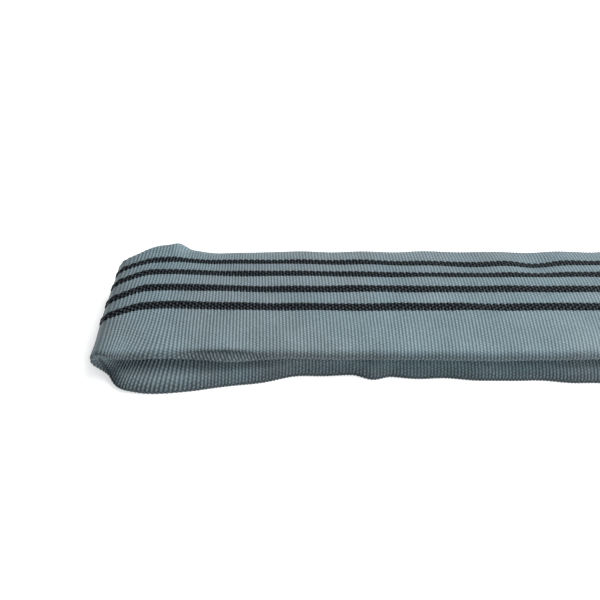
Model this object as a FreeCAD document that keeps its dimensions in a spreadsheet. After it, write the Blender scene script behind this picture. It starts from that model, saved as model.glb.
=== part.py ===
"""Round sling, 4 tonne size, lying flat: an endless core of polyester strands in a woven tubular sleeve.

Frame: the origin is on the underside, on the centreline, at the fold line in the middle of the length.
+X runs along the sling to its right bight, +Y across it to the far edge, +Z up.
The two legs lie one on the other and meet in a bight, an eye, at each end.
The left half is swept along its own path, and the right half is its mirror image.
"""

import FreeCAD, Part
import math
import os
import Sketcher

V = FreeCAD.Vector

DIMENSIONS = [
    ("half_length", 247.25, "fold line to the centre of a bight's bend"),
    ("leg_width", 78.0, "flat width of one leg"),
    ("leg_thickness", 11.0, "thickness of one leg"),
    ("fabric_thickness", 1.2, "wall of the woven sleeve"),
    ("bend_radius", 8.25, "centreline radius of a bight"),
    ("settle_drop", 3.5, "how far the upper leg sinks behind a bight"),
    ("settle_run", 70.0, "length over which it sinks"),
    ("fold_gap", 0.6, "gap between the two halves at the fold line"),
    ("stripe_width", 4.9, "width of one identification stripe"),
    ("stripe_pitch", 12.0, "stripe to stripe"),
    ("stripe_offset", 9.6, "middle of the four stripes from the centreline"),
    ("stripe_depth", 0.6, "depth of a stripe's yarns in the sleeve"),
    ("strand_radius", 3.7, "one strand of the core, packed"),
    ("strand_pitch", 8.7, "strand to strand"),
    ("selvedge_radius", 0.4, "knitted catch cord in the near edge's wall"),
    ("tape_thickness", 0.35, "tape round the joined ends of the core"),
    ("tape_length", 14.0, "length of that tape"),
    ("tape_position", 150.0, "its middle from the fold line"),
    ("collar_position", 66.0, "start of the sleeve's overlap from the fold line"),
    ("collar_length", 64.0, "length of the overlap"),
    ("collar_wall", 1.0, "wall of the overlapping end"),
    ("collar_gap", 0.05, "overlap to the sleeve under it"),
    ("seam_thread", 0.4, "radius of the closing seam's thread"),
    ("seam_stitch", 3.6, "length of one stitch"),
    ("seam_pitch", 5.0, "stitch to stitch"),
    ("seam_margin", 5.0, "seam row to the overlap's end"),
    ("label_width", 58.0, "label along the sling"),
    ("label_length", 62.0, "label from its root to its free edge"),
    ("label_thickness", 0.8, "folded label tape"),
    ("label_slope", 15.0, "how steeply it hangs to the ground, degrees"),
    ("label_position", 98.0, "its middle from the fold line"),
    ("label_root_gap", 0.7, "overlap's edge to the label's root"),
    ("label_corner", 5.0, "radius of the label's free corners"),
    ("cover_thickness", 0.3, "clear film over the printed field"),
    ("cover_margin", 9.0, "film's edge to the label's edge"),
    ("bar_thickness", 0.25, "plain marking bars under the film"),
    ("bar_width", 3.4, "width of one bar"),
    ("bar_inset", 3.0, "a bar's end to the film's edge"),
    ("long_bar", 32.0, "length of the first and third bar"),
    ("short_bar", 24.0, "length of the second and fourth bar"),
    ("label_stitch", 2.4, "length of a border stitch"),
    ("label_stitch_pitch", 4.0, "border stitch to border stitch"),
]

STRIPES = 4
STRANDS = 8
MARKING_BARS = 4

doc = FreeCAD.newDocument("round_sling")
sheet = doc.addObject("Spreadsheet::Sheet", "Sheet")
for row, (alias, value, meaning) in enumerate(DIMENSIONS, start=1):
    sheet.set(f"A{row}", alias)
    sheet.set(f"B{row}", str(value))
    sheet.set(f"C{row}", meaning)
    sheet.setAlias(f"B{row}", alias)
doc.recompute()

SIZE = {alias: float(sheet.get(alias)) for alias, _, _ in DIMENSIONS}
HALF_THICKNESS = SIZE["leg_thickness"] / 2
UPPER_LEG = HALF_THICKNESS + 2 * SIZE["bend_radius"] - SIZE["settle_drop"]

# Rotations that carry a sketch's own plane onto the plane it is drawn in.
FACING_X = FreeCAD.Rotation(V(0, 1, 0), V(0, 0, 1), V(1, 0, 0), "ZXY")
FACING_Y = FreeCAD.Rotation(V(1, 0, 0), V(0, 0, 1), V(0, -1, 0), "ZXY")

parts = {}


def part_node(name, feature):
    """Names a finished sub-part. Its label is also the name of its file."""
    feature.Label = name
    parts[name] = feature
    return feature


def bind(feature, path, formula):
    """Ties one property of a feature to the sheet."""
    feature.setExpression(path, formula)


def sketch(name, rotation, position=V(0, 0, 0)):
    made = doc.addObject("Sketcher::SketchObject", name)
    made.Placement = FreeCAD.Placement(position, rotation)
    return made


def drive(made, kind, *where, formula, value):
    """Adds a dimension to a sketch and ties it to the sheet."""
    index = made.addConstraint(Sketcher.Constraint(kind, *where, value))
    bind(made, f"Constraints[{index}]", formula)


def add_path():
    """The line of one sling half: lower leg, bight, the slope where the leg above settles, upper leg."""
    made = sketch("half_path", FACING_Y)
    far, radius = SIZE["half_length"], SIZE["bend_radius"]
    run, drop = SIZE["settle_run"], SIZE["settle_drop"]
    settle = (run**2 / 4 + drop**2 / 4) / drop
    half_turn = math.asin(run / 2 / settle)
    low, top = HALF_THICKNESS, HALF_THICKNESS + 2 * radius
    up, quarter = V(0, 0, 1), math.pi / 2

    def arc(centre_x, centre_y, size, start, end):
        circle = Part.Circle(V(centre_x, centre_y, 0), up, size)
        return made.addGeometry(Part.ArcOfCircle(circle, start, end))

    lower = made.addGeometry(Part.LineSegment(V(0, low, 0), V(-far, low, 0)))
    bight = arc(-far, low + radius, radius, quarter, 3 * quarter)
    crest = arc(-far, top - settle, settle, quarter - half_turn, quarter)
    trough = arc(run - far, UPPER_LEG + settle, settle, 3 * quarter - half_turn, 3 * quarter)
    upper = made.addGeometry(Part.LineSegment(V(run - far, UPPER_LEG, 0), V(0, UPPER_LEG, 0)))
    start, end, centre, origin = 1, 2, 3, -1
    for joint in [
        (lower, end, bight, end),
        (bight, start, crest, end),
        (crest, start, trough, start),
        (trough, end, upper, start),
    ]:
        made.addConstraint(Sketcher.Constraint("Tangent", *joint))
    made.addConstraint(Sketcher.Constraint("Horizontal", lower))
    made.addConstraint(Sketcher.Constraint("Horizontal", upper))
    made.addConstraint(Sketcher.Constraint("Equal", crest, trough))
    made.addConstraint(Sketcher.Constraint("PointOnObject", lower, start, -2))
    made.addConstraint(Sketcher.Constraint("PointOnObject", upper, end, -2))
    drive(made, "DistanceY", origin, 1, lower, start, formula="Sheet.leg_thickness / 2", value=low)
    drive(made, "DistanceX", lower, end, origin, 1, formula="Sheet.half_length", value=far)
    drive(made, "Radius", bight, formula="Sheet.bend_radius", value=radius)
    drive(made, "DistanceX", crest, end, trough, end, formula="Sheet.settle_run", value=run)
    drive(
        made, "DistanceY", lower, start, upper, end,
        formula="2 * Sheet.bend_radius - Sheet.settle_drop", value=2 * radius - drop,
    )
    return made


def slot_section(name, inset):
    """A leg's flat outline with round edges, set in from the outside by the sheet's value of inset."""
    made = sketch(name, FACING_X)
    gap = SIZE[inset] if inset else 0.0
    size = HALF_THICKNESS - gap
    reach = SIZE["leg_width"] / 2 - HALF_THICKNESS
    up, quarter, middle = V(0, 0, 1), math.pi / 2, HALF_THICKNESS
    top = made.addGeometry(Part.LineSegment(V(reach, middle + size, 0), V(-reach, middle + size, 0)))
    near = made.addGeometry(
        Part.ArcOfCircle(Part.Circle(V(-reach, middle, 0), up, size), quarter, 3 * quarter)
    )
    foot = made.addGeometry(Part.LineSegment(V(-reach, middle - size, 0), V(reach, middle - size, 0)))
    far = made.addGeometry(
        Part.ArcOfCircle(Part.Circle(V(reach, middle, 0), up, size), -quarter, quarter)
    )
    made.addConstraint(Sketcher.Constraint("Tangent", top, 2, near, 1))
    made.addConstraint(Sketcher.Constraint("Tangent", near, 2, foot, 1))
    made.addConstraint(Sketcher.Constraint("Tangent", foot, 2, far, 1))
    made.addConstraint(Sketcher.Constraint("Tangent", far, 2, top, 1))
    made.addConstraint(Sketcher.Constraint("Horizontal", top))
    inset_formula = f" - Sheet.{inset}" if inset else ""
    drive(made, "Radius", far, formula=f"Sheet.leg_thickness / 2{inset_formula}", value=size)
    drive(made, "DistanceY", -1, 1, far, 3, formula="Sheet.leg_thickness / 2", value=middle)
    half_reach = "Sheet.leg_width / 2 - Sheet.leg_thickness / 2"
    drive(made, "DistanceX", -1, 1, far, 3, formula=half_reach, value=reach)
    drive(made, "DistanceX", near, 3, -1, 1, formula=half_reach, value=reach)
    return made


def round_section(name, radius, across, across_formula):
    """A circle at the leg's mid height, across from the centreline."""
    made = sketch(name, FACING_X)
    circle = made.addGeometry(Part.Circle(V(across, HALF_THICKNESS, 0), V(0, 0, 1), SIZE[radius]))
    drive(made, "Radius", circle, formula=f"Sheet.{radius}", value=SIZE[radius])
    drive(made, "DistanceY", -1, 1, circle, 3, formula="Sheet.leg_thickness / 2", value=HALF_THICKNESS)
    if across >= 0:
        drive(made, "DistanceX", -1, 1, circle, 3, formula=across_formula, value=across)
    else:
        drive(made, "DistanceX", circle, 3, -1, 1, formula=f"-({across_formula})", value=-across)
    return made


def stripe_section(name, across, across_formula):
    """A flat ribbon in the sleeve's outer face, which is the underside of the lower leg."""
    made = sketch(name, FACING_X)
    half, depth = SIZE["stripe_width"] / 2, SIZE["stripe_depth"]
    corners = [(-half, 0), (half, 0), (half, depth), (-half, depth)]
    corners = [V(across + y, z, 0) for y, z in corners]
    sides = [made.addGeometry(Part.LineSegment(corners[i - 1], corners[i])) for i in range(4)]
    for i, side in enumerate(sides):
        made.addConstraint(Sketcher.Constraint("Coincident", side, 2, sides[(i + 1) % 4], 1))
        made.addConstraint(Sketcher.Constraint("Vertical" if i % 2 == 0 else "Horizontal", side))
    foot, edge = sides[1], sides[2]
    made.addConstraint(Sketcher.Constraint("PointOnObject", foot, 1, -1))
    drive(made, "DistanceX", foot, 1, foot, 2, formula="Sheet.stripe_width", value=2 * half)
    drive(made, "DistanceY", edge, 1, edge, 2, formula="Sheet.stripe_depth", value=depth)
    right = across + half
    right_formula = f"{across_formula} + Sheet.stripe_width / 2"
    if right >= 0:
        drive(made, "DistanceX", -1, 1, foot, 2, formula=right_formula, value=right)
    else:
        drive(made, "DistanceX", foot, 2, -1, 1, formula=f"-({right_formula})", value=-right)
    return made


def sweep(name, section, path):
    made = doc.addObject("Part::Sweep", name)
    made.Sections = [section]
    made.Spine = (path, [])
    made.Solid = True
    made.Frenet = False
    return made


def cut(name, base, tool):
    made = doc.addObject("Part::Cut", name)
    made.Base, made.Tool = base, tool
    return made


def fuse(name, shapes):
    made = doc.addObject("Part::MultiFuse", name)
    made.Shapes = shapes
    made.Refine = True
    return made


def box(name, sizes, corner):
    """A Part::Box whose sizes and corner are formulas of the sheet."""
    made = doc.addObject("Part::Box", name)
    for side, formula in zip(("Length", "Width", "Height"), sizes):
        bind(made, side, formula)
    for axis, formula in zip("xyz", corner):
        bind(made, f"Placement.Base.{axis}", formula)
    return made


def mirror_half(left, name):
    """The right half's twin of a left part: its mirror image in the middle of the gap at the fold line."""
    made = doc.addObject("Part::Mirroring", f"{name}_right")
    made.Source = left
    made.Normal = V(1, 0, 0)
    bind(made, "Base.x", "Sheet.fold_gap / 2")
    return part_node(f"{name}_right", made)


def add_both(name, left):
    part_node(f"{name}_left", left)
    mirror_half(left, name)


def add_legs():
    """Sleeve, identification stripes, core strands and catch cord, each as two halves."""
    path = add_path()
    outside = sweep("sleeve_outside", slot_section("sleeve_outline", None), path)
    hollow = sweep("sleeve_hollow", slot_section("sleeve_bore", "fabric_thickness"), path)
    tube = cut("sleeve_tube", outside, hollow)
    edge = -(SIZE["leg_width"] - SIZE["fabric_thickness"]) / 2
    edge_formula = "-(Sheet.leg_width - Sheet.fabric_thickness) / 2"
    catch_section = round_section("selvedge_section", "selvedge_radius", edge, edge_formula)
    catch_cord = sweep("selvedge", catch_section, path)
    stripes = []
    for i in range(STRIPES):
        step = (STRIPES - 1) / 2 - i
        across = SIZE["stripe_offset"] + step * SIZE["stripe_pitch"]
        formula = f"Sheet.stripe_offset + {step} * Sheet.stripe_pitch"
        section = stripe_section(f"stripe_section_{i + 1}", across, formula)
        stripes.append(sweep(f"stripe_{i + 1}", section, path))
    grooves = doc.addObject("Part::Compound", "yarn_grooves")
    grooves.Links = [*stripes, catch_cord]
    add_both("sleeve", cut("sleeve_half", tube, grooves))
    for i, stripe in enumerate(stripes):
        add_both(f"stripe_{i + 1}", stripe)
    for i in range(STRANDS):
        step = i - (STRANDS - 1) / 2
        across = step * SIZE["strand_pitch"]
        section = round_section(
            f"strand_section_{i + 1}", "strand_radius", across, f"{step} * Sheet.strand_pitch"
        )
        add_both(f"core_strand_{i + 1}", sweep(f"strand_{i + 1}", section, path))
    add_both("selvedge_cord", catch_cord)


def upper_leg_height():
    return "Sheet.leg_thickness / 2 + 2 * Sheet.bend_radius - Sheet.settle_drop"


def slot_block(name, growth, length, start):
    """A straight stretch of the upper leg's outline, grown outwards, as a solid along +X."""
    half = f"(Sheet.leg_thickness / 2 + {growth})"
    reach = "(Sheet.leg_width / 2 - Sheet.leg_thickness / 2)"
    middle = upper_leg_height()
    slab = box(
        f"{name}_slab", (length, f"2 * {reach}", f"2 * {half}"), (start, f"-{reach}", f"{middle} - {half}")
    )
    edges = []
    for side, sign in (("near", "-"), ("far", "")):
        edge = doc.addObject("Part::Cylinder", f"{name}_{side}")
        edge.Placement = FreeCAD.Placement(V(0, 0, 0), FreeCAD.Rotation(V(0, 1, 0), 90))
        bind(edge, "Radius", half)
        bind(edge, "Height", length)
        bind(edge, "Placement.Base.x", start)
        bind(edge, "Placement.Base.y", f"{sign}{reach}")
        bind(edge, "Placement.Base.z", middle)
        edges.append(edge)
    return fuse(name, [slab, *edges])


def add_closure():
    """The end of the sleeve that is drawn over the other end, and the seam that closes it."""
    start, length = "Sheet.collar_position", "Sheet.collar_length"
    grown = slot_block("collar_block", "Sheet.collar_gap + Sheet.collar_wall", length, start)
    margin = "Sheet.seam_margin"
    space = slot_block("collar_space", "Sheet.collar_gap", f"{length} + 2 * {margin}", f"{start} - {margin}")
    part_node("sleeve_overlap", cut("collar", grown, space))
    stitch = doc.addObject("Part::Cylinder", "seam_stitch")
    stitch.Placement = FreeCAD.Placement(V(0, 0, 0), FreeCAD.Rotation(V(1, 0, 0), -90))
    bind(stitch, "Radius", "Sheet.seam_thread")
    bind(stitch, "Height", "Sheet.seam_stitch")
    bind(stitch, "Placement.Base.y", "-Sheet.leg_width / 2 + Sheet.leg_thickness / 2")
    face = "Sheet.leg_thickness / 2 + Sheet.collar_gap + Sheet.collar_wall + Sheet.seam_thread"
    bind(stitch, "Placement.Base.z", f"{upper_leg_height()} + {face}")
    bind(stitch, "Placement.Base.x", "Sheet.collar_position + Sheet.seam_margin")
    span = SIZE["leg_width"] - SIZE["leg_thickness"]
    count = int(span // SIZE["seam_pitch"])
    rows = [stitch_row("closing_seam_row", stitch, count, SIZE["seam_pitch"])]
    second = doc.addObject("Part::Compound", "closing_seam_second_row")
    second.Links = rows
    bind(second, "Placement.Base.x", "Sheet.collar_length - 2 * Sheet.seam_margin")
    seam = doc.addObject("Part::Compound", "closing_seam_rows")
    seam.Links = [*rows, second]
    part_node("closing_seam", seam)


def stitch_row(name, stitch, count, pitch):
    """Copies of one stitch at even steps along +Y."""
    copies = []
    for i in range(count):
        copy = doc.addObject("Part::Compound", f"{name}_{i + 1}")
        copy.Links = [stitch]
        copy.Placement.Base = V(0, i * pitch, 0)
        copies.append(copy)
    row = doc.addObject("Part::Compound", name)
    row.Links = copies
    return row


def add_core_tape():
    """A short wrap of tape where the core's two yarn ends are joined, on one strand of the lower leg."""
    made = []
    strand = "Sheet.strand_radius"
    for name, grow in (("tape_outside", f"{strand} + Sheet.tape_thickness"), ("tape_bore", strand)):
        cylinder = doc.addObject("Part::Cylinder", name)
        cylinder.Placement = FreeCAD.Placement(V(0, 0, 0), FreeCAD.Rotation(V(0, 1, 0), 90))
        bind(cylinder, "Radius", grow)
        bind(cylinder, "Height", "Sheet.tape_length")
        bind(cylinder, "Placement.Base.x", "Sheet.tape_position - Sheet.tape_length / 2")
        bind(cylinder, "Placement.Base.y", "Sheet.strand_pitch / 2")
        bind(cylinder, "Placement.Base.z", "Sheet.leg_thickness / 2")
        made.append(cylinder)
    part_node("core_end_tape", cut("core_tape", *made))


def label_placement():
    """The label's own frame: x along the sling, y from its root to its free edge, z out of its face."""
    root = V(
        SIZE["label_position"] - SIZE["label_width"] / 2,
        SIZE["leg_width"] / 2 + SIZE["collar_gap"] + SIZE["collar_wall"] + SIZE["label_root_gap"],
        UPPER_LEG,
    )
    return FreeCAD.Placement(root, FreeCAD.Rotation(V(1, 0, 0), -SIZE["label_slope"]))


def plane_of(body, role):
    return next(f for f in body.Origin.OriginFeatures if f.Role == role)


def label_rectangle(body, name, low, high, sizes):
    """A rectangle in the label's plane, from low to high, with its four sides tied to the sheet."""
    made = body.newObject("Sketcher::SketchObject", name)
    made.AttachmentSupport = (plane_of(body, "XY_Plane"), [""])
    made.MapMode = "FlatFace"
    corners = [V(low[0], low[1], 0), V(high[0], low[1], 0), V(high[0], high[1], 0), V(low[0], high[1], 0)]
    sides = [made.addGeometry(Part.LineSegment(corners[i], corners[(i + 1) % 4])) for i in range(4)]
    for i, side in enumerate(sides):
        made.addConstraint(Sketcher.Constraint("Coincident", side, 2, sides[(i + 1) % 4], 1))
        made.addConstraint(Sketcher.Constraint("Horizontal" if i % 2 == 0 else "Vertical", side))
    left, foot, width, depth = sizes
    if low == (0, 0):
        made.addConstraint(Sketcher.Constraint("Coincident", sides[0], 1, -1, 1))
    else:
        drive(made, "DistanceX", -1, 1, sides[0], 1, formula=left, value=low[0])
        drive(made, "DistanceY", -1, 1, sides[0], 1, formula=foot, value=low[1])
    drive(made, "DistanceX", sides[0], 1, sides[0], 2, formula=width, value=high[0] - low[0])
    drive(made, "DistanceY", sides[1], 1, sides[1], 2, formula=depth, value=high[1] - low[1])
    return made


def label_body(name, rectangle, thickness, height):
    """A PartDesign body that pads one rectangle of the label, height above the label's mid plane."""
    body = doc.addObject("PartDesign::Body", f"{name}_body")
    outline = label_rectangle(body, f"{name}_outline", *rectangle)
    pad = body.newObject("PartDesign::Pad", f"{name}_pad")
    pad.Profile = outline
    bind(pad, "Length", thickness)
    outline.AttachmentOffset = FreeCAD.Placement(V(0, 0, height), FreeCAD.Rotation())
    return body, pad


def add_label():
    """The identification label: folded tape, plain marking bars, clear film and border stitches."""
    wide, long = SIZE["label_width"], SIZE["label_length"]
    thick, margin = SIZE["label_thickness"], SIZE["cover_margin"]
    place = label_placement()
    whole = ((0, 0), (wide, long), ("0", "0", "Sheet.label_width", "Sheet.label_length"))
    tape, pad = label_body("label_tape", whole, "Sheet.label_thickness", -thick / 2)
    doc.recompute()
    free_corners = [
        f"Edge{i}" for i, edge in enumerate(pad.Shape.Edges, start=1)
        if edge.BoundBox.ZLength > thick / 2 and edge.BoundBox.YMin > long / 2
    ]
    corners = tape.newObject("PartDesign::Fillet", "label_corners")
    corners.Base = (pad, free_corners)
    bind(corners, "Radius", "Sheet.label_corner")
    tape.Placement = place
    part_node("label_tape", tape)

    bars = []
    for i in range(MARKING_BARS):
        bar = doc.addObject("Part::Box", f"marking_bar_{i + 1}")
        bind(bar, "Length", "Sheet.short_bar" if i % 2 else "Sheet.long_bar")
        bind(bar, "Width", "Sheet.bar_width")
        bind(bar, "Height", "Sheet.bar_thickness")
        bind(bar, "Placement.Base.x", "Sheet.cover_margin + Sheet.bar_inset")
        field_share = f"{i + 1} / {MARKING_BARS + 1} * (Sheet.label_length - 2 * Sheet.cover_margin)"
        bind(bar, "Placement.Base.y", f"Sheet.cover_margin + {field_share} - Sheet.bar_width / 2")
        bind(bar, "Placement.Base.z", "Sheet.label_thickness / 2")
        bars.append(bar)
    marks = doc.addObject("Part::Compound", "marking_bars")
    marks.Links = bars
    marks.Placement = place
    part_node("label_marking", marks)

    field = (
        (margin, margin), (wide - margin, long - margin),
        ("Sheet.cover_margin", "Sheet.cover_margin",
         "Sheet.label_width - 2 * Sheet.cover_margin", "Sheet.label_length - 2 * Sheet.cover_margin"),
    )
    cover, _ = label_body("label_cover", field, "Sheet.cover_thickness", thick / 2 + SIZE["bar_thickness"])
    cover.Placement = place
    part_node("label_cover", cover)

    border = SIZE["cover_margin"] / 2
    step = SIZE["label_stitch_pitch"]
    stitches = []
    runs = [
        (V(border, border, 0), V(1, 0, 0), wide - 2 * border),
        (V(border, long - border, 0), V(1, 0, 0), wide - 2 * border),
        (V(border, border + step, 0), V(0, 1, 0), long - 2 * border - 2 * step),
        (V(wide - border, border + step, 0), V(0, 1, 0), long - 2 * border - 2 * step),
    ]
    for r, (corner, along, length) in enumerate(runs):
        for i in range(int(length // step)):
            stitch = doc.addObject("Part::Cylinder", f"label_stitch_{r + 1}_{i + 1}")
            bind(stitch, "Radius", "Sheet.seam_thread")
            bind(stitch, "Height", "Sheet.label_stitch")
            lift = V(0, 0, thick / 2 + SIZE["seam_thread"])
            turn = FreeCAD.Rotation(V(0, 0, 1), along)
            stitch.Placement = FreeCAD.Placement(corner + along * (i * step) + lift, turn)
            stitches.append(stitch)
    thread = doc.addObject("Part::Compound", "label_thread")
    thread.Links = stitches
    thread.Placement = place
    part_node("label_stitching", thread)


def check_document():
    """Stops with a message where a feature failed or a sub-part has no sound solid."""
    for feature in doc.Objects:
        if {"Invalid", "Error"} & set(feature.State):
            raise RuntimeError(f"{feature.Name} failed: {feature.State}")
    for name, feature in parts.items():
        shape = feature.Shape
        if shape.isNull() or not shape.isValid() or not shape.Solids:
            raise RuntimeError(f"{name} has no valid solid")
        print(f"{name:22s} {len(shape.Solids):3d} solids {shape.Volume:12.1f} mm3  {shape.BoundBox}")


add_legs()
add_closure()
add_core_tape()
add_label()
doc.recompute()
check_document()
os.makedirs("parts", exist_ok=True)
for name, feature in parts.items():
    feature.Shape.exportStep(f"parts/{name}.step")
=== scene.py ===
"""Looks of the round sling: woven sleeve with black stripes, core strands, overlap, seam and label."""

import math

import bpy
import numpy as np
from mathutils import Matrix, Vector


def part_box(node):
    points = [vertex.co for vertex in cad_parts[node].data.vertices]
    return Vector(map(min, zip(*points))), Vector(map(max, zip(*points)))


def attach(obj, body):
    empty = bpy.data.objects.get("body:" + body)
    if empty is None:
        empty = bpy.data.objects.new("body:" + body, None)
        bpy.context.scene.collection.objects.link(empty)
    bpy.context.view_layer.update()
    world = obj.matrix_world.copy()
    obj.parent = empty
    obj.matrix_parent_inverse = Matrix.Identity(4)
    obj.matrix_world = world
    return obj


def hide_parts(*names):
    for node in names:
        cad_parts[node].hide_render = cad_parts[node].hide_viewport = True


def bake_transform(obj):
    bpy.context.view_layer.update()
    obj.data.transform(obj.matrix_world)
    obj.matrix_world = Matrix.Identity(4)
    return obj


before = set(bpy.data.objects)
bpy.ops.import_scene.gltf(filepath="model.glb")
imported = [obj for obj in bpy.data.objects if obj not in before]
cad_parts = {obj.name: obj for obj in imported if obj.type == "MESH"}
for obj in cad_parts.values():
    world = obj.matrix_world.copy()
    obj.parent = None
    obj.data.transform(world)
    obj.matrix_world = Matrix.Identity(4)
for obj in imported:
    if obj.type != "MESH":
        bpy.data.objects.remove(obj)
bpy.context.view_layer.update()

MM = 0.001

# The weave: picks run across the sleeve and stand out as ribs, warp ends run along it.
PICK = 1.65 * MM
END = 0.74 * MM
RIB_HEIGHT = 0.10 * MM
FABRIC = 1.0 * MM
STEPS_PER_PICK = 4
AROUND = 60
SECTION_FULLNESS = 2.25

# The legs: their ends and width from the frame, their thickness and the heights of their middles as in CAD.
sleeve_low, sleeve_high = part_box("sleeve_left")
TIP = -sleeve_low.x
HALF_WIDTH = sleeve_high.y - 0.2 * MM
LEG_HALF = 5.5 * MM
LOWER_MIDDLE = 4.9 * MM
UPPER_MIDDLE = 18.5 * MM

# The stripes' middles across the sleeve, the nearest first.
STRIPES = (-9.0 * MM, 3.9 * MM, 16.4 * MM, 26.9 * MM)
STRIPE_WIDTHS = (5.0 * MM, 4.8 * MM, 4.3 * MM, 3.9 * MM)
ENDS_IN_STRIPE = 4
# How many warp ends from the near edge the painted shade of the rounded edge reaches.
ENDS_IN_PAINTED_EDGE_SHADE = 7

# The near edge's course on the left half, read off the photo: millimetres past the middle of the bight,
# from the lower leg to the upper one, and how many millimetres further in the edge lies there.
LEFT_EDGE_PLACES = (
    -260, -238, -203, -176, -150, -106, -70, -45, -27, -18, -10, -4,
    2, 8, 14, 23, 34, 44, 58, 84, 98, 115, 173, 221, 258,
)
LEFT_EDGE_INWARD = (
    0.4, 0.8, 2.2, 2.8, 4.6, 5.2, -0.4, -4.9, -5.9, -3.4, 3.6, 5.6,
    3.6, 0.8, 0.4, 1.2, 2.3, 3.1, 3.9, 3.7, 3.5, 3.2, 2.2, 2.4, 3.2,
)

# Where along x the left half's folds lie: the middle of each, and how far from it the fold ends.
LIP_TURNED_IN = (-0.201, 0.033)
LIP_CREASED = (-0.201, 0.028)
LIP_DRAWN_BACK = (-0.199, 0.034)
EAR_DRAWN_IN = (-0.203, 0.030)
FAR_SIDE_DRAWN_IN = (-0.060, 0.100)
STRIPE_WAVES = (-0.040, 0.034)
STRIPE_WAVE_LENGTH = 0.036
LOWER_DENT = (-0.126, 0.010)
EAR_FOOT, EAR_RISE = -0.256, 0.022
EAR_CREST_END, EAR_END = -0.2335, -0.2235

# The core.
STRANDS = 8
STRAND_WIDTH = 6.0 * MM
STRAND_HEIGHT = 6.8 * MM
STRAND_SIDES = 12

# The overlap, its seam and the label, on the right half's upper leg.
overlap_low, overlap_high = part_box("sleeve_overlap")
OVERLAP = (overlap_low.x, overlap_high.x)
OVERLAP_WALL = 1.0 * MM
SEAM_ROWS = (OVERLAP[0] + 5.0 * MM, OVERLAP[1] - 5.0 * MM)
SEAM_PITCH = 5.0 * MM
SEAM_STITCH = {"length": 3.7 * MM, "radius": 0.34 * MM, "lift": 0.22 * MM}
label_low, label_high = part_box("label_tape")
LABEL_MIDDLE = (label_low.x + label_high.x) / 2
LABEL_WIDTH = label_high.x - label_low.x
LABEL_LENGTH = 64.0 * MM
LABEL_ROOT = (label_low.y - 1.6 * MM, UPPER_MIDDLE)
LABEL_RUN = 60.9 * MM
LABEL_HALF_THICKNESS = 0.4 * MM
LABEL_CORNER = 5.0 * MM
LABEL_STITCH = {"length": 2.6 * MM, "radius": 0.26 * MM, "lift": 0.20 * MM}
INK = (0.42 * MM, 0.50 * MM)
FILM = (0.52 * MM, 0.72 * MM)

CAMERA_PLACE = (-0.196, -0.3103, 0.3094)
CAMERA_DOWN = 43
FLOOR_HALF = 12.0
FLOOR_GLOW = 0.52
WORLD_LIGHT = 0.31


def smooth(low, high, x):
    t = np.clip((x - low) / (high - low), 0, 1)
    return t * t * (3 - 2 * t)


def bump(middle, half, x):
    """A smooth hump of height 1 at the middle that ends half away from it."""
    return 1 - smooth(0, half, np.abs(x - middle))


def unit(vectors):
    return vectors / np.linalg.norm(vectors, axis=-1, keepdims=True)


def through(x, stations, values):
    """A smooth curve through given stations, level beyond its ends."""
    stations, values = np.array(stations, float), np.array(values, float)
    slope = np.gradient(values, stations)
    slope[[0, -1]] = 0
    x = np.clip(x, stations[0], stations[-1])
    i = np.clip(np.searchsorted(stations, x) - 1, 0, len(stations) - 2)
    span = stations[i + 1] - stations[i]
    t = (x - stations[i]) / span
    return (
        values[i] * (1 + 2 * t) * (1 - t) ** 2
        + values[i + 1] * t**2 * (3 - 2 * t)
        + span * (slope[i] * t * (1 - t) ** 2 - slope[i + 1] * t**2 * (1 - t))
    )


def ripples(seed, count, x, y, shortest, longest):
    """A smooth random field of unit scale: a few sine waves of seeded direction, length and phase."""
    random = np.random.default_rng(seed)
    field = np.zeros(np.broadcast(x, y).shape)
    for _ in range(count):
        length = math.exp(random.uniform(math.log(shortest), math.log(longest)))
        angle = random.uniform(0, math.pi)
        phase = random.uniform(0, 2 * math.pi)
        wave = x * math.cos(angle) + y * math.sin(angle)
        field = field + np.sin(2 * math.pi * wave / length + phase)
    return field / math.sqrt(count)


# ---------------------------------------------------------------- shape of the sleeve


def centre_line():
    """One half's centre line in its own plane: reach from the fold line, height, and length so far."""
    bend_start, bend_reach = TIP - 26 * MM, 22.6 * MM
    nose, crest = 14.5 * MM, 19.9 * MM
    settle = 62 * MM
    straight = np.linspace(0, bend_start, 400, endpoint=False)
    turn = np.linspace(0, math.pi / 2, 120, endpoint=False)
    square = 2 / 2.5
    fall = np.linspace(0, 1, 160, endpoint=False)
    back = np.linspace(bend_start - settle, 0, 300)
    reach = np.concatenate([
        straight,
        bend_start + bend_reach * np.sin(turn),
        bend_start + bend_reach * np.cos(turn) ** square,
        bend_start - settle * fall,
        back,
    ])
    height = np.concatenate([
        np.full_like(straight, LOWER_MIDDLE),
        LOWER_MIDDLE + (nose - LOWER_MIDDLE) * (1 - np.cos(turn)),
        nose + (crest - nose) * np.sin(turn) ** square,
        crest + (UPPER_MIDDLE - crest) * smooth(0, 1, fall),
        np.full_like(back, UPPER_MIDDLE),
    ])
    length = np.concatenate([[0], np.cumsum(np.hypot(np.diff(reach), np.diff(height)))])
    return reach, height, length


REACH, HEIGHT, LENGTH = centre_line()
HALF_LOOP = LENGTH[-1]
PICKS = round(HALF_LOOP / PICK)


def section(angle, half_width, half_height):
    """A flat rounded outline. Angle 0 is the near edge, and the outer face comes first."""
    power = 2 / SECTION_FULLNESS
    c, s = np.cos(angle), np.sin(angle)
    across = -half_width * np.sign(c) * np.abs(c) ** power
    return across, half_height * np.sign(s) * np.abs(s) ** power


def across_table():
    """The section's angle against the distance along its outside, from the near edge over the outer face."""
    angle = np.linspace(0, 2 * math.pi, 4001)
    y, z = section(angle, HALF_WIDTH, LEG_HALF)
    return angle, np.concatenate([[0], np.cumsum(np.hypot(np.diff(y), np.diff(z)))])


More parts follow.
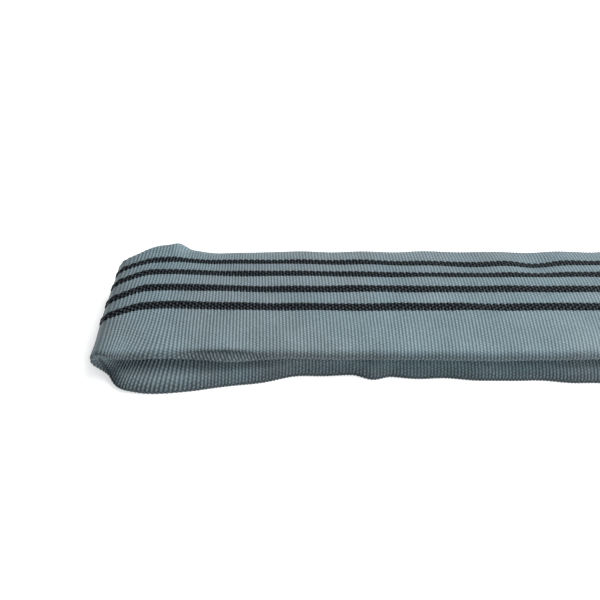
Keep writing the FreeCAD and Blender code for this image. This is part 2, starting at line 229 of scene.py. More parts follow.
ANGLE, ACROSS = across_table()
GIRTH = ACROSS[-1]
ENDS = 2 * round(GIRTH / END / 2)


def angle_of_share(share, outer=True):
    """The section's angle at that share of the half width from the middle, on its outer or inner face."""
    angle = math.acos(-np.sign(share) * abs(share) ** (SECTION_FULLNESS / 2))
    return angle if outer else 2 * math.pi - angle


def across_of(y):
    """The distance along the outside, from the near edge to that place on the outer face."""
    return float(np.interp(angle_of_share(y / HALF_WIDTH), ANGLE, ACROSS))


def shape(side, along, angle):
    """Where a point of the sleeve's smooth outside lies. along runs from the fold line on the lower leg."""
    reach = np.interp(along, LENGTH, REACH)
    height = np.interp(along, LENGTH, HEIGHT)
    step = 1.5 * MM
    ahead, behind = np.clip(along + step, 0, HALF_LOOP), np.clip(along - step, 0, HALF_LOOP)
    d_reach = np.interp(ahead, LENGTH, REACH) - np.interp(behind, LENGTH, REACH)
    d_height = np.interp(ahead, LENGTH, HEIGHT) - np.interp(behind, LENGTH, HEIGHT)
    size = np.hypot(d_reach, d_height)
    out_reach, out_height = d_height / size, -d_reach / size
    x = side * reach
    upper = smooth(0.46 * HALF_LOOP, 0.54 * HALF_LOOP, along)
    lower = 1 - upper
    bight = smooth(TIP - 36 * MM, TIP - 10 * MM, reach)

    # How far out the section reaches: fuller in the lower leg, and at the nose of the bight.
    y, _ = section(angle, HALF_WIDTH, LEG_HALF)
    share = y / HALF_WIDTH
    far, near = np.clip(share, 0, 1), np.clip(-share, 0, 1)
    fullness = 2.2 + lower * 0.5 - upper * 0.55 * smooth(0, 0.3, share) * (1 - bight)
    out = LEG_HALF * (1 - np.abs(share) ** fullness) ** (1 / fullness) * np.sign(np.sin(angle))
    under = smooth(0.3 * LEG_HALF, -0.5 * LEG_HALF, out)
    nose = bump(0.5 * HALF_LOOP, 26 * MM, along)
    out = out * (1 - 0.18 * bight) + 0.75 * LEG_HALF * nose * share**4

    # The course of the near edge, then of the far one: drawn in at the tip and at the ear, wavy along the legs.
    edge = near_edge(side, along, x, upper) * near**2
    y = y + edge * (1 - 1.05 * upper * under * (1 - bight) * bump(*LIP_TURNED_IN, x))
    y = y - 2.2 * MM * (bump(0.62, 0.42, share) * bump(*FAR_SIDE_DRAWN_IN, x) * upper)
    turning = smooth(TIP - 20 * MM, TIP - 3 * MM, reach)
    y = y - (4.5 + 3 * far**5) * MM * turning * (1 - near**2)
    if side < 0:
        y = y - 2.4 * MM * far**2 * upper * bump(*EAR_DRAWN_IN, x)
        y = y + crease(share, out) * upper * bump(*LIP_CREASED, x)
    by_label = smooth(70 * MM, 36 * MM, np.abs(x - LABEL_MIDDLE)) * upper
    edge_waves = ripples(11, 5, x + 0.1 * upper, 0 * x, 30 * MM, 120 * MM) * (1 - bight) * (1 - by_label)
    y = y + far**2 * (0.6 * edge_waves + 1.3 * upper * (1 - bight) * (1 - by_label)) * MM

    # Both edges droop, and the folds come on top.
    point_reach = reach + out * out_reach
    droop = upper * 3.5 * near**2 + lower * (3.4 * near**3 + 1.4 * far**3) * (1 - 0.7 * bight)
    point_height = height + out * out_height - droop * MM
    point_height = point_height + folds(side, x, y, share, upper, out)

    # The left bight reaches furthest at its near side, where its edge comes to a point.
    lean = smooth(TIP - 110 * MM, TIP - 24 * MM, reach)
    inward = (y + HALF_WIDTH) * lean
    if side < 0:
        point_reach = point_reach - 0.045 * inward - 0.95 * inward**2
        point_reach = point_reach + 8 * MM * lower * near**2 * bump(TIP - 24 * MM, 30 * MM, reach)
        point_reach = point_reach + 6 * MM * upper * near**3 * bump(TIP - 22 * MM, 20 * MM, reach)
        point_reach = point_reach - 4 * MM * upper * under * near**3 * bump(*LIP_DRAWN_BACK, x)
    else:
        point_reach = point_reach + 0.04 * inward

    # What would lie under the ground is pressed flat on it.
    softness = 0.5 * MM
    point_height = 0.5 * (point_height + np.sqrt(point_height**2 + softness**2))
    return np.stack([side * point_reach, y, point_height], -1)


def crease(share, out):
    """A groove pressed into the very edge on the near side, so that its two plies show as two lips."""
    return 2.8 * MM * bump(0.16 * LEG_HALF, 0.26 * LEG_HALF, out) * smooth(-0.86, -0.98, share)


def near_edge(side, along, x, upper):
    """How far the near edge lies from its usual place: above 0 is further in."""
    if side < 0:
        left = through((along - 0.5 * HALF_LOOP) / MM, LEFT_EDGE_PLACES, LEFT_EDGE_INWARD)
        dents = 0.5 * ripples(21, 6, x, 0 * x, 14 * MM, 45 * MM) - 2.6 * bump(*LOWER_DENT, x)
        return (left + (1 - upper) * dents * smooth(-0.235, -0.19, x) * smooth(0, -0.03, x)) * MM
    wander = 1.6 * ripples(5, 4, x, 0 * x, 60 * MM, 160 * MM) * smooth(0, 90 * MM, x)
    return (upper * (3.2 - 2.4 * smooth(0, 0.06, x)) + (1 - upper) * 0.4 + wander) * MM


def folds(side, x, y, share, upper, out):
    """Folds and puckers: the raised ear at the far side of the left bight, waves beside the first stripe."""
    outer = smooth(-0.2 * LEG_HALF, 0.5 * LEG_HALF, out)
    lumps = 0.22 * MM * upper * ripples(3, 9, x, 2.2 * y, 18 * MM, 60 * MM)
    if side > 0:
        waves = 0.8 * MM * ripples(8, 3, x, y, 30 * MM, 60 * MM) * smooth(0.3, 0.8, share)
        by_overlap = bump(sum(OVERLAP) / 2, 50 * MM, x)
        return lumps + waves * upper * smooth(0.06, 0.10, x) * (1 - by_overlap)
    rise = np.clip((x - EAR_FOOT) / EAR_RISE, 0, 1) * (1 - smooth(EAR_CREST_END, EAR_END, x))
    ear = 4.4 * MM * rise * smooth(0.62, 1.0, share)
    waves = np.sin(2 * math.pi * (x + 0.0617) / STRIPE_WAVE_LENGTH)
    waves = waves * bump(*STRIPE_WAVES, x) * bump(0.72, 0.4, share)
    return lumps + upper * ear + 0.8 * MM * upper * outer * waves


def outward(points, side):
    """Unit normals of a closed grid of points."""
    along = np.gradient(points, axis=0)
    around = np.roll(points, -1, 1) - np.roll(points, 1, 1)
    return unit(np.cross(along, around) * -side)


def frame_at(side, along, angle):
    """Point, unit normal, unit tangent and unit side vector of the sleeve's outside."""
    step, turn = 0.4 * MM, 0.02
    point = shape(side, along, angle)
    tangent = unit(shape(side, along + step, angle) - shape(side, along - step, angle))
    around = shape(side, along, angle + turn) - shape(side, along, angle - turn)
    normal = unit(np.cross(tangent, around) * -side)
    return point, normal, tangent, np.cross(normal, tangent)


# ---------------------------------------------------------------- meshes


def new_mesh(name, points, faces, material):
    mesh = bpy.data.meshes.new(name)
    mesh.from_pydata(points.reshape(-1, 3).tolist(), [], faces)
    mesh.materials.append(material)
    mesh.shade_smooth()
    piece = bpy.data.objects.new(name, mesh)
    bpy.context.scene.collection.objects.link(piece)
    return piece


def corner_points(piece):
    """The point number of each face corner."""
    corner = np.empty(len(piece.data.loops), np.int64)
    piece.data.loops.foreach_get("vertex_index", corner)
    return corner


def set_weave_map(piece, corner_along, corner_across):
    """A map that counts picks along the sleeve and warp ends round it, which its material reads."""
    layer = piece.data.uv_layers.new(name="weave")
    values = np.stack([corner_along, corner_across], -1).astype(np.float32)
    layer.data.foreach_set("uv", values.ravel())


def ring_quads(rows, columns, first=0, flip=False):
    """Faces of a grid of points, closed across its columns."""
    i, j = np.meshgrid(np.arange(rows - 1), np.arange(columns), indexing="ij")
    k = (j + 1) % columns
    order = [i * columns + j, i * columns + k, (i + 1) * columns + k, (i + 1) * columns + j]
    faces = first + np.stack(order, -1).reshape(-1, 4)
    return faces[:, ::-1] if flip else faces


def rounded_tube(centre, sideways, up, half_width, half_height, columns, first):
    """Points and faces of a tube round a centre line, closed at both ends. The half sizes may vary along it."""
    ring = np.linspace(0, 2 * math.pi, columns, endpoint=False)
    rows = len(centre)
    half_width = np.broadcast_to(half_width, rows)[:, None]
    half_height = np.broadcast_to(half_height, rows)[:, None]
    points = (
        centre[:, None]
        + sideways[:, None] * (np.cos(ring) * half_width)[..., None]
        + up[:, None] * (np.sin(ring) * half_height)[..., None]
    )
    start = (first + np.arange(columns)).tolist()
    end = (first + (rows - 1) * columns + np.arange(columns)).tolist()
    faces = ring_quads(rows, columns, first).tolist() + [start[::-1], end]
    return points.reshape(-1, 3), faces


def sleeve_wall(name, side, along, outer, inner, material):
    """A closed woven wall along one half: outer and inner are its distances from the sleeve's outside."""
    angle = np.linspace(0, 2 * math.pi, AROUND, endpoint=False)
    surface = shape(side, along[:, None], angle[None, :])
    normal = outward(surface, side)
    outside = surface + normal * outer[:, None, None]
    inside = (surface + normal * inner[:, None, None])[::STEPS_PER_PICK]
    rows, inner_rows = len(along), len(inside)
    first = rows * AROUND
    faces = [ring_quads(rows, AROUND, 0, side < 0), ring_quads(inner_rows, AROUND, first, side > 0)]
    j = np.arange(AROUND)
    k = (j + 1) % AROUND
    for outer_row, inner_row, flip in ((0, 0, side < 0), (rows - 1, inner_rows - 1, side > 0)):
        a, b = outer_row * AROUND, first + inner_row * AROUND
        rim = np.stack([a + j, b + j, b + k, a + k], -1)
        faces.append(rim[:, ::-1] if flip else rim)
    faces = np.concatenate(faces)
    points = np.concatenate([outside.reshape(-1, 3), inside.reshape(-1, 3)])
    piece = new_mesh(name, points, faces.tolist(), material)

    row_picks = np.concatenate([along, along[::STEPS_PER_PICK]]) / HALF_LOOP * PICKS
    across = np.interp(angle, ANGLE, ACROSS) / GIRTH * ENDS
    corner = corner_points(piece)
    column = corner % AROUND
    wraps = faces % AROUND
    wraps = ((wraps.max(1) - wraps.min(1)) > AROUND // 2).repeat(4)
    corner_across = across[column] + np.where(wraps & (column == 0), ENDS, 0)
    set_weave_map(piece, row_picks[corner // AROUND], corner_across)
    return piece


def rib(along):
    return np.cos(2 * math.pi * along / HALF_LOOP * PICKS)


def sleeve_half(name, side, material):
    """One half of the sleeve: ribbed outside, smooth inside."""
    along = np.linspace(0, HALF_LOOP, PICKS * STEPS_PER_PICK + 1)
    opened = smooth(TIP - 120 * MM, TIP - 20 * MM, np.interp(along, LENGTH, REACH))
    lower = smooth(0.52 * HALF_LOOP, 0.46 * HALF_LOOP, along)
    ribs = RIB_HEIGHT * (1 + 0.6 * opened + 1.1 * lower) * rib(along)
    return sleeve_wall(name, side, along, ribs, np.full_like(along, -FABRIC), material)


def overlap_sleeve(name, material):
    """The sleeve's other end, drawn over the first: ribbed, with a turned hem at both ends."""
    first, last = (round((HALF_LOOP - x) / HALF_LOOP * PICKS) for x in reversed(OVERLAP))
    along = np.linspace(first, last, (last - first) * STEPS_PER_PICK + 1) * HALF_LOOP / PICKS
    from_end = np.minimum(along - along[0], along[-1] - along)
    hem = 0.35 * MM * smooth(5.2 * MM, 4.2 * MM, from_end) * smooth(-1.2 * MM, 1.0 * MM, from_end)
    inner = np.full_like(along, 1.2 * RIB_HEIGHT)
    outer = inner + OVERLAP_WALL - RIB_HEIGHT + hem + 0.9 * RIB_HEIGHT * rib(along)
    return sleeve_wall(name, 1, along, outer, inner, material)


def stripe_half(name, side, middle, width, material):
    """One black stripe: its warp ends, each over one pick and under the next."""
    steps_per_pick, sides = 3, 8
    pitch = width / ENDS_IN_STRIPE
    along = np.linspace(0.0, HALF_LOOP, PICKS * steps_per_pick + 1)
    points, faces, maps = [], [], []
    for end in range(ENDS_IN_STRIPE):
        across = across_of(middle) + (end - (ENDS_IN_STRIPE - 1) / 2) * pitch
        angle = np.full_like(along, np.interp(across, ACROSS, ANGLE))
        point, normal, _, sideways = frame_at(side, along, angle)
        wave = np.cos(math.pi * (along / HALF_LOOP * PICKS + end))
        dive = 0.28 if end in (0, ENDS_IN_STRIPE - 1) else 0.20
        centre = point + normal * (0.10 + dive * wave)[:, None] * MM
        first = end * len(along) * sides
        half_width = (0.51 + 0.06 * wave) * pitch
        tube, tube_faces = rounded_tube(centre, sideways, normal, half_width, 0.33 * MM, sides, first)
        points.append(tube)
        faces += tube_faces
        picks = np.repeat(along / HALF_LOOP * PICKS + end, sides)
        maps.append(np.stack([picks, np.tile(np.arange(sides), len(along))], -1))
    piece = new_mesh(name, np.concatenate(points), faces, material)
    maps = np.concatenate(maps)[corner_points(piece)]
    set_weave_map(piece, maps[:, 0], maps[:, 1])
    return piece


def selvedge_half(name, side, material):
    """The knitted catch cord along the near edge: a row of small knots, one to each pick."""
    along = np.linspace(0.0, HALF_LOOP, PICKS * 8 + 1)
    knot = rib(along + 0.3 * PICK)
    inward = -0.4 * MM + 4.8 * MM * smooth(-16 * MM, 4 * MM, along - 0.5 * HALF_LOOP)
    angle = np.interp((GIRTH - inward) % GIRTH, ACROSS, ANGLE)
    point, normal, _, sideways = frame_at(side, along, angle)
    centre = point + normal * (0.10 - 0.02 * knot)[:, None] * MM
    half_width, half_height = (0.70 + 0.40 * knot) * MM, (0.42 + 0.06 * knot) * MM
    points, faces = rounded_tube(centre, sideways, normal, half_width, half_height, 8, 0)
    return new_mesh(name, points, faces, material)


def strand_line(side, strand, along):
    """A core strand's middle, its up and side vectors and its half height, inside the sleeve."""
    share = 0.86 * (strand - (STRANDS - 1) / 2) / (STRANDS / 2)
    top = shape(side, along, angle_of_share(share, True))
    foot = shape(side, along, angle_of_share(share, False))
    middle, thick = (top + foot) / 2, np.linalg.norm(top - foot, axis=-1)
    tall = np.clip(thick / 2 - FABRIC - 0.9 * MM, 0.8 * MM, STRAND_HEIGHT / 2)
    up = (top - foot) / thick[:, None]
    tangent = unit(np.gradient(middle, axis=0))
    return middle, up, np.cross(up, tangent), tall


def core_half(name, side, material):
    """The strands of the core inside one half, each a closed tube."""
    along = np.linspace(0.0, HALF_LOOP, 220)
    points, faces = [], []
    for strand in range(STRANDS):
        middle, up, sideways, tall = strand_line(side, strand, along)
        first = strand * len(along) * STRAND_SIDES
        tube, tube_faces = rounded_tube(middle, sideways, up, STRAND_WIDTH / 2, tall, STRAND_SIDES, first)
        points.append(tube)
        faces += tube_faces
    return new_mesh(name, np.concatenate(points), faces, material)


def core_tape(name, low, high, material):
    """The tape round the joined ends of the core, on its fifth strand in the lower leg."""
    along = np.linspace(low, high, 29)
    middle, up, sideways, tall = strand_line(1, 4, along)
    wrap = 0.35 * MM + 0.08 * MM * np.cos(2 * math.pi * (along - low) / (3.5 * MM))
    points, faces = rounded_tube(middle, sideways, up, STRAND_WIDTH / 2 + wrap, tall + wrap, 24, 0)
    return new_mesh(name, points, faces, material)


def bent_stitch(place, direction, up, length, radius, lift, first):
    """A stitch that arches over the cloth and dives into it at both ends."""
    t = np.linspace(-1, 1, 9)
    centre = place + direction * (t * length / 2)[:, None] + up * (lift * (1 - 1.6 * t**4))[:, None]
    tangent = unit(np.gradient(centre, axis=0))
    sideways = unit(np.cross(np.broadcast_to(up, tangent.shape), tangent))
    taper = radius * (1 - 0.25 * t**2)
    return rounded_tube(centre, sideways, np.cross(tangent, sideways), taper, taper, 8, first)


def seam_stitches(name, height, material):
    """Two rows of stitches across the overlap's outer face, one near each hem."""
    points, faces = [], []
    for x in SEAM_ROWS:
        for step in range(-6, 7):
            share = step * SEAM_PITCH / HALF_WIDTH
            along = np.array([HALF_LOOP - x])
            point, normal, _, sideways = frame_at(1, along, np.array([angle_of_share(share)]))
            first = sum(len(p) for p in points)
            place = point[0] + normal[0] * height
            stitch, stitch_faces = bent_stitch(place, sideways[0], normal[0], **SEAM_STITCH, first=first)
            points.append(stitch)
            faces += stitch_faces
    return new_mesh(name, np.concatenate(points), faces, material)


# ---------------------------------------------------------------- label


def label_profile():
    """How the label hangs: y and z against the distance from its root, down to the ground and out along it."""
    t = np.linspace(0, 1, 400)
    drop = LABEL_ROOT[1] - 1.3 * MM
    z = LABEL_ROOT[1] - drop * (t**1.3 - 0.16 * t**4) / 0.84 + 0.6 * MM * smooth(0.85, 1.0, t)
    y = LABEL_ROOT[0] + LABEL_RUN * t
    length = np.concatenate([[0], np.cumsum(np.hypot(np.diff(y), np.diff(z)))])
    return length, y, z


LABEL_S, LABEL_Y, LABEL_Z = label_profile()


def label_at(u, v):
    """Point and upward normal of the label's middle, u across it and v from its root, in metres."""

    def middle(u, v):
        y = np.interp(v, LABEL_S, LABEL_Y)
        z = np.interp(v, LABEL_S, LABEL_Z)
        curl = v / LABEL_LENGTH
        wave = 0.55 * np.sin(2 * math.pi * u / 0.062 + 0.7) + 0.35 * np.sin(2 * math.pi * (u + v) / 0.041)
        corner = (np.abs(u) / LABEL_WIDTH * 2) ** 4
        z = z + curl * wave * MM + 1.3 * MM * corner * curl**3
        return np.stack([LABEL_MIDDLE + u, y, np.maximum(z, 0.7 * MM)], -1)

    step = 0.3 * MM
    du = middle(u + step, v) - middle(u - step, v)
    dv = middle(u, v + step) - middle(u, v - step)
    return middle(u, v), unit(np.cross(du, dv))


def label_patch(name, u, v, low, high, material, corner=0.0):
    """A thin piece on the label: a grid of u by v between two distances from the label's middle."""
    columns, rows = len(u), len(v)
    uu, vv = np.meshgrid(u, v)
    if corner:
        into = np.clip(vv - (v[-1] - corner), 0, corner)
        narrow = corner - np.sqrt(corner**2 - into**2)
        uu = uu * (1 - narrow / abs(u[0]))
    point, normal = label_at(uu, vv)
    points = np.concatenate([(point + normal * high).reshape(-1, 3), (point + normal * low).reshape(-1, 3)])
    i, j = np.meshgrid(np.arange(rows - 1), np.arange(columns - 1), indexing="ij")
    a = i * columns + j
    top = np.stack([a, a + 1, a + columns + 1, a + columns], -1).reshape(-1, 4)
    bottom = top[:, ::-1] + rows * columns
    last = rows * columns - 1
    border = np.concatenate([
        np.arange(columns - 1),
        np.arange(rows - 1) * columns + columns - 1,
        last - np.arange(columns - 1),
        (rows - 1 - np.arange(rows - 1)) * columns,
    ])
    following = np.roll(border, -1)
    rim = np.stack([border, border + rows * columns, following + rows * columns, following], -1)
    return new_mesh(name, points, np.concatenate([top, bottom, rim]).tolist(), material)


def label_bars(name, material):
    """The plain marking bars under the film."""
    points, faces, parts = [], [], []
    for step, half in enumerate((16, 12, 16, 12)):
        middle = (18.3 + 8.6 * step) * MM
        u = np.linspace(-16, -16 + 2 * half, 17) * MM
        v = middle + np.linspace(-1.7, 1.7, 5) * MM
        parts.append(label_patch(f"{name}_{step}", u, v, *INK, material))
    for part in parts:
        first = sum(len(p) for p in points)
        points.append(np.array([vertex.co[:] for vertex in part.data.vertices]))
        faces += [[first + k for k in face.vertices] for face in part.data.polygons]
        mesh = part.data
        bpy.data.objects.remove(part)
        bpy.data.meshes.remove(mesh)
    return new_mesh(name, np.concatenate(points), faces, material)


def label_stitches(name, material):
    """The border stitches of the label."""
    half, near, far = 24.9 * MM, 4.4 * MM, 58.2 * MM
    places = []
    for step in range(12):
        u = (-22 + 4 * step) * MM
        places += [(u, near, 1, 0), (u, far, 1, 0)]
    for step in range(11):
        v = (near + far) / 2 + (step - 5) * 4.6 * MM
        places += [(-half, v, 0, 1), (half, v, 0, 1)]
    points, faces = [], []
    for u, v, across, down in places:
        point, normal = label_at(np.array([u]), np.array([v]))
        ahead, _ = label_at(np.array([u + across * MM]), np.array([v + down * MM]))
        direction = unit(ahead[0] - point[0])
        place = point[0] + normal[0] * 0.36 * MM
        first = sum(len(p) for p in points)
        stitch, stitch_faces = bent_stitch(place, direction, normal[0], **LABEL_STITCH, first=first)
        points.append(stitch)
        faces += stitch_faces
    return new_mesh(name, np.concatenate(points), faces, material)


# ---------------------------------------------------------------- materials


class Shader:
    """A material and short ways to add the nodes used here."""

    def __init__(self, name):
        self.material = bpy.data.materials.new(name)
        self.material.use_nodes = True
        self.nodes, self.links = self.material.node_tree.nodes, self.material.node_tree.links
        self.surface = self.nodes["Principled BSDF"]
        self.place = self.nodes.new("ShaderNodeTexCoord").outputs["Object"]

    def put(self, value, socket):
        if isinstance(value, (int, float, tuple)):
            socket.default_value = value
        else:
            self.links.new(value, socket)

    def math(self, operation, first, second=0.0):
        node = self.nodes.new("ShaderNodeMath")
        node.operation = operation
        self.put(first, node.inputs[0])
        self.put(second, node.inputs[1])
        return node.outputs[0]

    def add(self, *values):
        total = values[0]
        for value in values[1:]:
            total = self.math("ADD", total, value)
        return total

    def times(self, first, second):
        return self.math("MULTIPLY", first, second)

    def noise(self, scale, detail=3.0):
        node = self.nodes.new("ShaderNodeTexNoise")
        self.put(float(scale), node.inputs["Scale"])
        self.put(float(detail), node.inputs["Detail"])
        self.put(self.place, node.inputs["Vector"])
        return node.outputs["Fac"]

    def twist(self, scale, distortion):
        node = self.nodes.new("ShaderNodeTexWave")
        node.bands_direction = "DIAGONAL"
        self.put(float(scale), node.inputs["Scale"])
        self.put(float(distortion), node.inputs["Distortion"])
        self.put(self.place, node.inputs["Vector"])
        return node.outputs["Fac"]

    def ramp(self, value, stops):
        node = self.nodes.new("ShaderNodeValToRGB")
        while len(node.color_ramp.elements) < len(stops):
            node.color_ramp.elements.new(0.5)
        for element, (place, colour) in zip(node.color_ramp.elements, stops):
            element.position = place
            element.color = (*colour, 1)
        self.put(value, node.inputs["Fac"])
        return node.outputs["Color"]

    def mix(self, share, first, second):
        node = self.nodes.new("ShaderNodeMix")
        node.data_type = "RGBA"
        self.put(share, node.inputs[0])
        self.put(first, node.inputs[6])
        self.put(second, node.inputs[7])
        return node.outputs[2]

    def weave(self):
        """The counts of picks and of warp ends from the weave map."""
        node = self.nodes.new("ShaderNodeUVMap")
        node.uv_map = "weave"
        parts = self.nodes.new("ShaderNodeSeparateXYZ")
        self.put(node.outputs[0], parts.inputs[0])
        return parts.outputs[0], parts.outputs[1]

    def relief(self, height, strength, distance):
        node = self.nodes.new("ShaderNodeBump")
        self.put(float(strength), node.inputs["Strength"])
        self.put(float(distance), node.inputs["Distance"])
        self.put(height, node.inputs["Height"])
        self.put(node.outputs[0], self.surface.inputs["Normal"])

    def finish(self, colour, roughness, specular=0.3, sheen=0.0):
        self.put(colour, self.surface.inputs["Base Color"])
        self.put(roughness, self.surface.inputs["Roughness"])
        self.put(specular, self.surface.inputs["Specular IOR Level"])
        self.put(sheen, self.surface.inputs["Sheen Weight"])
        self.put(0.5, self.surface.inputs["Sheen Roughness"])
        return self.material


def weave_material(name, striped=False):
    """Grey plain weave: ribs across, each made of the warp's floats, staggered from pick to pick, with painted
    light and shade in its colour: crests lighter, hollows darker, and painted shade along the rounded near
    edge.
    """
    s = Shader(name)
    pick, end = s.weave()
    ribs = s.math("COSINE", s.times(pick, 2 * math.pi))
    over = s.times(s.math("COSINE", s.times(pick, math.pi)), s.math("COSINE", s.times(end, math.pi)))
    valley = s.math("ABSOLUTE", s.math("SINE", s.times(end, math.pi)))
    fibres = s.noise(2600)
    height = s.add(s.times(ribs, 0.3), s.times(over, 0.5), s.times(valley, 0.15), s.times(fibres, 0.25))
    s.relief(height, 0.8, 0.00022)
    # Painted highlight and shade: rib crests and warp floats are lighter, the hollows between them darker.
    tone = s.add(s.times(ribs, 0.07), s.times(over, 0.09), s.times(s.noise(60, 4), 0.33))
    rubbed = s.times(s.times(ribs, s.noise(28, 5)), 0.10)
    tone = s.add(tone, s.times(s.noise(900, 2), 0.35), rubbed, 0.14)
    # Painted shade: the colour darkens over the last warp ends by the near edge, where the rounded edge turns
    # away from the light.
    from_edge = s.times(s.math("PINGPONG", end, ENDS / 2), 1 / ENDS_IN_PAINTED_EDGE_SHADE)
    painted_edge_shade = s.ramp(from_edge, [(0.3, (0.32, 0.32, 0.32)), (1.0, (0.0, 0.0, 0.0))])
    tone = s.math("SUBTRACT", tone, painted_edge_shade)
    cool = s.ramp(tone, [
        (0.05, (0.020, 0.032, 0.038)),
        (0.45, (0.098, 0.142, 0.160)),
        (0.95, (0.205, 0.268, 0.292)),
    ])
    warm = s.ramp(tone, [
        (0.05, (0.023, 0.031, 0.036)),
        (0.45, (0.107, 0.139, 0.155)),
        (0.95, (0.218, 0.264, 0.285)),
    ])
    colour = s.mix(s.ramp(s.noise(14, 3), [(0.40, (0.0, 0.0, 0.0)), (0.60, (1.0, 1.0, 1.0))]), cool, warm)
    if striped:
        black = 0.0
        for middle, width in zip(STRIPES, STRIPE_WIDTHS):
            gap = s.math("ABSOLUTE", s.math("SUBTRACT", end, across_of(middle) / GIRTH * ENDS))
            black = s.add(black, s.math("LESS_THAN", gap, width / GIRTH * ENDS / 2))
        dark = s.ramp(tone, [(0.2, (0.002, 0.002, 0.003)), (0.9, (0.014, 0.016, 0.019))])
        colour = s.mix(black, colour, dark)
    return s.finish(colour, 0.62, 0.12 if striped else 0.3, 0.04 if striped else 0.08)


def yarn_material(name, dark, light, roughness=0.5, sheen=0.2, scale=900, specular=0.2):
    """Twisted yarn: fine slanting filaments and a little colour change."""
    s = Shader(name)
    value = s.times(s.twist(scale, 3), s.noise(0.8 * scale))
    s.relief(value, 0.5, 0.0001)
    return s.finish(s.ramp(value, [(0.0, dark), (0.7, light)]), roughness, specular, sheen)


def stripe_material(name):
    """Black yarn, with a painted highlight on the crown of each float."""
    s = Shader(name)
    pick, _ = s.weave()
    # Painted highlight: the colour is lighter on the crown of each float.
    wave = s.math("COSINE", s.times(pick, math.pi))
    painted_crown_highlight = s.math("POWER", s.math("MAXIMUM", wave, 0.0), 3.0)
    value = s.times(s.twist(900, 3), s.noise(720))
    s.relief(value, 0.5, 0.0001)
    tone = s.times(painted_crown_highlight, s.add(value, 0.25))
    colour = s.ramp(tone, [(0.05, (0.0015, 0.002, 0.003)), (0.5, (0.045, 0.054, 0.062))])
    return s.finish(colour, 0.5, 0.06)


def tape_material(name, dark, light, roughness, specular, sheen, relief):
    """Smooth woven tape or film: fine mottling and faint wear."""
    s = Shader(name)
    value = s.add(s.times(s.noise(1400), 0.6), s.times(s.noise(90, 4), 0.4))
    s.relief(s.noise(2200, 2), relief, 0.0001)
    return s.finish(s.ramp(value, [(0.35, dark), (0.62, light)]), roughness, specular, sheen)


def film_material(name):
    """Clear film: it shows the field under it, with soft scratches in its gloss."""
    s = Shader(name)
    scratches = s.noise(240, 6)
    s.relief(scratches, 0.15, 0.0001)
    s.put(0.22, s.surface.inputs["Alpha"])
    gloss = s.ramp(scratches, [(0.4, (0.12, 0.12, 0.12)), (0.7, (0.34, 0.34, 0.34))])
    s.put(gloss, s.surface.inputs["Roughness"])
    colour = s.ramp(s.noise(50, 4), [(0.35, (0.62, 0.68, 0.74)), (0.7, (0.80, 0.84, 0.88))])
    s.put(colour, s.surface.inputs["Base Color"])
    return s.material


# ---------------------------------------------------------------- camera, light, floor


def add_camera():
    """The camera of the picture: across the sling, looking down on it, the left bight in view."""
    data = bpy.data.cameras.new("camera")
    data.sensor_width, data.lens = 36.0, 50.4
    data.shift_x = 0.117
    camera = bpy.data.objects.new("camera", data)
    camera.location = CAMERA_PLACE
    camera.rotation_euler = (math.radians(90 - CAMERA_DOWN), 0, 0)
    bpy.context.scene.collection.objects.link(camera)
    bpy.context.scene.camera = camera


def add_light(name, place, target, size, power, colour):
    data = bpy.data.lights.new(name, "AREA")
    data.size, data.energy, data.color = size, power, colour
    light = bpy.data.objects.new(name, data)
    light.location = place
    light.rotation_euler = (Vector(target) - Vector(place)).to_track_quat("-Z", "Y").to_euler()
    bpy.context.scene.collection.objects.link(light)


def add_studio():
    """A pale floor, a large soft lamp high on the right, and a weaker one low on the right, in front."""
    half = FLOOR_HALF
    corners = [(-half, -half, 0), (half, -half, 0), (half, half, 0), (-half, half, 0)]
    mesh = bpy.data.meshes.new("floor")
    mesh.from_pydata(corners, [], [(0, 1, 2, 3)])
    floor = bpy.data.objects.new("floor", mesh)
    bpy.context.scene.collection.objects.link(floor)
    s = Shader("floor_white")
    s.put((1.0, 1.0, 1.0, 1.0), s.surface.inputs["Emission Color"])
    s.put(FLOOR_GLOW, s.surface.inputs["Emission Strength"])
    mesh.materials.append(s.finish((0.8, 0.8, 0.8, 1.0), 0.8))
    world = bpy.data.worlds.new("studio")
    world.use_nodes = True
    background = world.node_tree.nodes["Background"]
    background.inputs["Color"].default_value = (1, 1, 1, 1)
    background.inputs["Strength"].default_value = WORLD_LIGHT
    bpy.context.scene.world = world
    bpy.context.scene.view_settings.view_transform = "Standard"
    add_light("key", (0.60, 0.20, 0.95), (-0.12, 0, 0), 1.2, 30, (0.97, 1.0, 1.01))
    add_light("fill", (0.80, -0.95, 0.40), (-0.1, 0, 0), 0.6, 14, (0.93, 1.0, 1.03))


# ---------------------------------------------------------------- the sling


def bend_with_halves(piece, slot, *nodes):
    """The piece keeps its place in the world and stands for these nodes, which are hidden."""
    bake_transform(piece)
    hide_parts(*nodes)


def ride_on(piece, body, node):
    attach(piece, body)
    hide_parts(node)


add_camera()
add_studio()

weave = weave_material("sleeve_weave")
striped_weave = weave_material("overlap_weave", striped=True)
black = stripe_material("stripe_yarn")
white_yarn = yarn_material("core_yarn", (0.5, 0.49, 0.44), (0.85, 0.84, 0.8), 0.6, 0.3, 500)
edge_yarn = yarn_material("selvedge_yarn", (0.014, 0.019, 0.023), (0.07, 0.09, 0.10), 0.6, 0.1, 1400)
seam_yarn = yarn_material("seam_thread", (0.02, 0.024, 0.028), (0.14, 0.16, 0.17), 0.45, 0.1, 1400, 0.35)
label_yarn = yarn_material("label_thread", (0.55, 0.55, 0.56), (0.9, 0.9, 0.9), 0.45, 0.2, 1600, 0.35)
blue_tape = tape_material("label_blue", (0.012, 0.05, 0.17), (0.03, 0.10, 0.30), 0.55, 0.3, 0.3, 0.6)
core_wrap = tape_material("core_wrap", (0.5, 0.45, 0.32), (0.78, 0.72, 0.56), 0.35, 0.5, 0.0, 0.2)
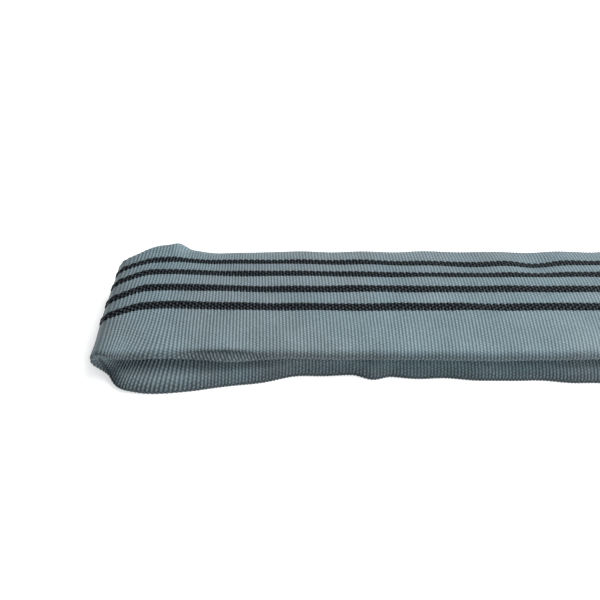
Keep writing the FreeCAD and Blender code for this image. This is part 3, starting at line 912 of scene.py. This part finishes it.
marking = tape_material("label_marking", (0.62, 0.64, 0.66), (0.86, 0.87, 0.88), 0.5, 0.3, 0.0, 0.3)
film = film_material("label_film")

for word, side in (("left", -1), ("right", 1)):
    sleeve = sleeve_half(f"sleeve_cloth_{word}", side, weave)
    bend_with_halves(sleeve, "sleeve_fabric", f"sleeve_{word}")
    core = core_half(f"core_strands_{word}", side, white_yarn)
    bend_with_halves(core, "core_yarn", *[f"core_strand_{n + 1}_{word}" for n in range(STRANDS)])
    for number, middle, width in zip((4, 3, 2, 1), STRIPES, STRIPE_WIDTHS):
        stripe = stripe_half(f"stripe_yarns_{number}_{word}", side, middle, width, black)
        bend_with_halves(stripe, "stripe_yarn", f"stripe_{number}_{word}")
    selvedge = selvedge_half(f"selvedge_loops_{word}", side, edge_yarn)
    bend_with_halves(selvedge, "selvedge_yarn", f"selvedge_cord_{word}")

overlap = overlap_sleeve("overlap_cloth", striped_weave)
ride_on(overlap, "right_half", "sleeve_overlap")
seam = seam_stitches("seam_stitches", 1.15 * MM, seam_yarn)
ride_on(seam, "right_half", "closing_seam")
tape_low, tape_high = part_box("core_end_tape")
tape = core_tape("core_tape_wrap", tape_low.x, tape_high.x, core_wrap)
ride_on(tape, "right_half", "core_end_tape")

across = np.linspace(-LABEL_WIDTH / 2, LABEL_WIDTH / 2, 49)
down = np.concatenate([np.linspace(0, 4 * MM, 9), np.linspace(5 * MM, LABEL_LENGTH, 56)])
label = label_patch(
    "label_cloth", across, down, -LABEL_HALF_THICKNESS, LABEL_HALF_THICKNESS, blue_tape, LABEL_CORNER
)
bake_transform(label)
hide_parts("label_tape")
bars = label_bars("label_bars", marking)
ride_on(bars, "label_tag", "label_marking")
film_across, film_down = np.linspace(-20, 20, 41) * MM, np.linspace(9, 53, 45) * MM
cover = label_patch("label_clear_film", film_across, film_down, *FILM, film)
ride_on(cover, "label_tag", "label_cover")
stitches = label_stitches("label_border_stitches", label_yarn)
ride_on(stitches, "label_tag", "label_stitching")
